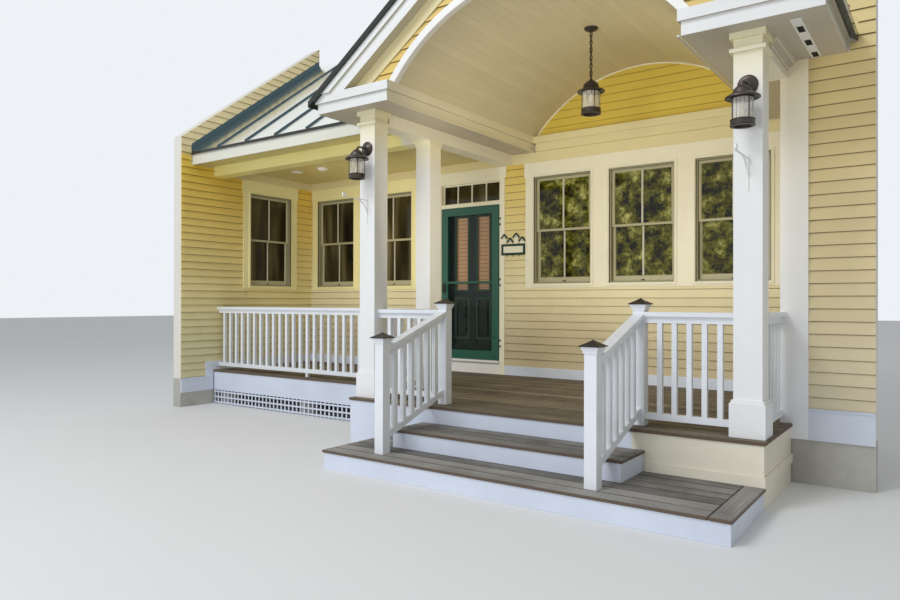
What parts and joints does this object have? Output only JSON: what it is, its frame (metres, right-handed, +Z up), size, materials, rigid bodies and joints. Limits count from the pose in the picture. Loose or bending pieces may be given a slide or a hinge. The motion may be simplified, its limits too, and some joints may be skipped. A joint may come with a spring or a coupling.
{
  "type": "entrance porch",
  "caption": "Corner entrance porch: gabled portico with a barrel-vaulted ceiling, steps and balustrades, beside a lower metal roof over a railed deck, storm and entry doors.",
  "frame": {"origin": "centre of the bounding box on the ground", "axes": "+X to the right along the front, +Y from the steps towards the house, +Z up"},
  "size_m": [8.11, 3.84, 5.5183],
  "materials": {
    "concrete": "rough",
    "siding_paint": "satin",
    "trim_paint": "satin",
    "ceiling_paint": "satin",
    "deck_wood": "rough",
    "sash_paint": "satin",
    "glass": "clear",
    "storm_paint": "satin",
    "entry_paint": "satin",
    "roof_metal": "satin",
    "dark_metal": "satin",
    "white_iron": "satin",
    "white_composite": "satin",
    "green_frame": "satin"
  },
  "bodies": {
    "house": {"foundation": "concrete", "back_wall_left": "siding_paint", "back_wall_right": "siding_paint", "back_wall_top": "siding_paint", "left_wall": "siding_paint", "right_return_wall": "siding_paint", "right_front_wall": "siding_paint", "window_casings": "trim_paint", "frieze_boards": "trim_paint", "wall_skirts": "trim_paint", "corner_board": "trim_paint", "window_frames": "sash_paint", "window_glass": "glass", "door_frame": "trim_paint", "door_sill": "trim_paint", "deck_left": "deck_wood", "deck_portico": "deck_wood", "deck_frame": "deck_wood", "deck_piers": "concrete", "deck_skirts": "trim_paint", "lattice": "trim_paint", "tread_upper": "deck_wood", "tread_lower": "deck_wood", "step_frames": "trim_paint", "posts": "trim_paint", "newels": "white_composite", "newel_caps": "dark_metal", "rail_left": "white_composite", "rail_front": "white_composite", "rail_sides": "white_composite", "stair_rails": "white_composite", "beams": "trim_paint", "cornice_left": "trim_paint", "cornice_right": "trim_paint", "gable_front": "siding_paint", "arch_trim": "trim_paint", "rake_boards": "trim_paint", "vault_ceiling": "ceiling_paint", "left_ceiling": "ceiling_paint", "main_fascia": "trim_paint", "gable_roof_left": "roof_metal", "gable_roof_right": "roof_metal", "main_roof_left": "roof_metal", "main_roof_right": "roof_metal", "roof_flashing": "roof_metal", "wall_lanterns": "dark_metal", "pendant_lantern": "dark_metal", "lantern_glass": "glass", "scroll_brackets": "white_iron", "wall_fittings": "green_frame", "ceiling_lights": "white_iron"},
    "storm_door": {"storm_door": "storm_paint", "storm_door_glass": "glass", "storm_door_handle": "dark_metal"},
    "entry_door": {"entry_door": "entry_paint", "entry_door_glass": "glass", "entry_door_knob": "dark_metal"}
  },
  "joints": [
    {"name": "storm_door_hinge", "type": "hinge", "parent": "house", "child": "storm_door", "pos_m": [-0.35, 1.731, 1.673], "axis": [0, 0, 1], "range_deg": [0, 90]},
    {"name": "entry_door_hinge", "type": "hinge", "parent": "house", "child": "entry_door", "pos_m": [-0.35, 1.881, 1.673], "axis": [0, 0, -1], "range_deg": [0, 90]}
  ]
}
